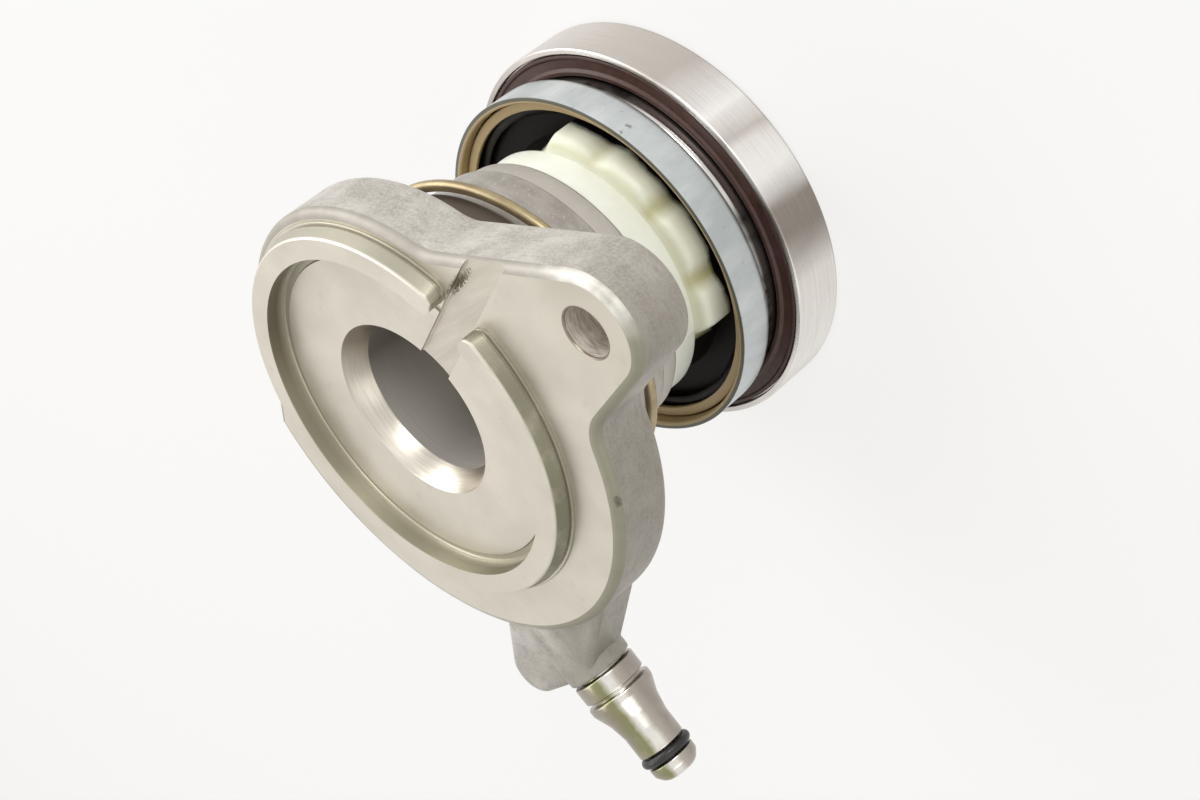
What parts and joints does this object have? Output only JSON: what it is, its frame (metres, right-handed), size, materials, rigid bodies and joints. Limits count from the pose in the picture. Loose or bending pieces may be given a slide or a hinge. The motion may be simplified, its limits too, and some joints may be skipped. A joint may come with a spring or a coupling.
{
  "type": "concentric clutch slave cylinder",
  "caption": "Ring-shaped hydraulic cylinder on an eared flange, with an inlet nipple and a self-centring release bearing carried by its lobed piston.",
  "frame": {"origin": "on the bore axis, in the plane of the release bearing's contact face, which the part stands on", "axes": "+Z along the bore axis from the bearing to the mounting flange, +X towards the bolt ear"},
  "size_m": [0.1121, 0.1163, 0.0698],
  "materials": {
    "cast_aluminium": "machined face, cast sides",
    "turned_steel": "turned",
    "black_rubber": "satin",
    "yellow_passivated_steel": "yellow passivated",
    "cream_plastic": "moulded",
    "dark_spring_steel": "oiled dark",
    "zinc_plated_steel": "zinc plated",
    "bearing_steel": "ground",
    "brown_rubber": "satin",
    "cage_plastic": "moulded"
  },
  "bodies": {
    "cylinder": {"housing": "cast_aluminium", "guide_sleeve": "turned_steel", "sleeve_o_ring": "black_rubber", "wire_ring": "yellow_passivated_steel", "inlet_nipple": "turned_steel", "nipple_o_ring": "black_rubber"},
    "ring_piston": {"piston": "cream_plastic", "piston_seal": "black_rubber"},
    "centring_spring": {"wave_spring": "dark_spring_steel"},
    "bearing_carrier": {"bearing_cup": "zinc_plated_steel", "snap_ring": "dark_spring_steel", "inner_ring": "bearing_steel"},
    "turning_ring": {"outer_ring": "bearing_steel", "rear_seal": "brown_rubber"},
    "cage_and_balls": {"ball_cage": "cage_plastic", "ball_01": "bearing_steel", "ball_02": "bearing_steel", "ball_03": "bearing_steel", "ball_04": "bearing_steel", "ball_05": "bearing_steel", "ball_06": "bearing_steel", "ball_07": "bearing_steel", "ball_08": "bearing_steel", "ball_09": "bearing_steel", "ball_10": "bearing_steel", "ball_11": "bearing_steel", "ball_12": "bearing_steel", "ball_13": "bearing_steel", "ball_14": "bearing_steel", "ball_15": "bearing_steel", "ball_16": "bearing_steel"}
  },
  "joints": [
    {"name": "piston_stroke", "type": "slide", "parent": "cylinder", "child": "ring_piston", "axis": [0, 0, -1], "range_m": [0, 0.012]},
    {"name": "centring_x", "type": "slide", "parent": "ring_piston", "child": "centring_spring", "axis": [1, 0, 0], "range_m": [-0.0008, 0.0008]},
    {"name": "centring_y", "type": "slide", "parent": "centring_spring", "child": "bearing_carrier", "axis": [0, 1, 0], "range_m": [-0.0008, 0.0008]},
    {"name": "outer_ring_spin", "type": "hinge", "parent": "bearing_carrier", "child": "turning_ring", "pos_m": [0, 0, 0.0057], "axis": [0, 0, 1], "continuous": true},
    {"name": "cage_spin", "type": "hinge", "parent": "bearing_carrier", "child": "cage_and_balls", "pos_m": [0, 0, 0.0057], "axis": [0, 0, 1], "continuous": true}
  ],
  "couplings": [
    {"joint": "cage_spin", "follows": "outer_ring_spin", "ratio": 0.544}
  ]
}
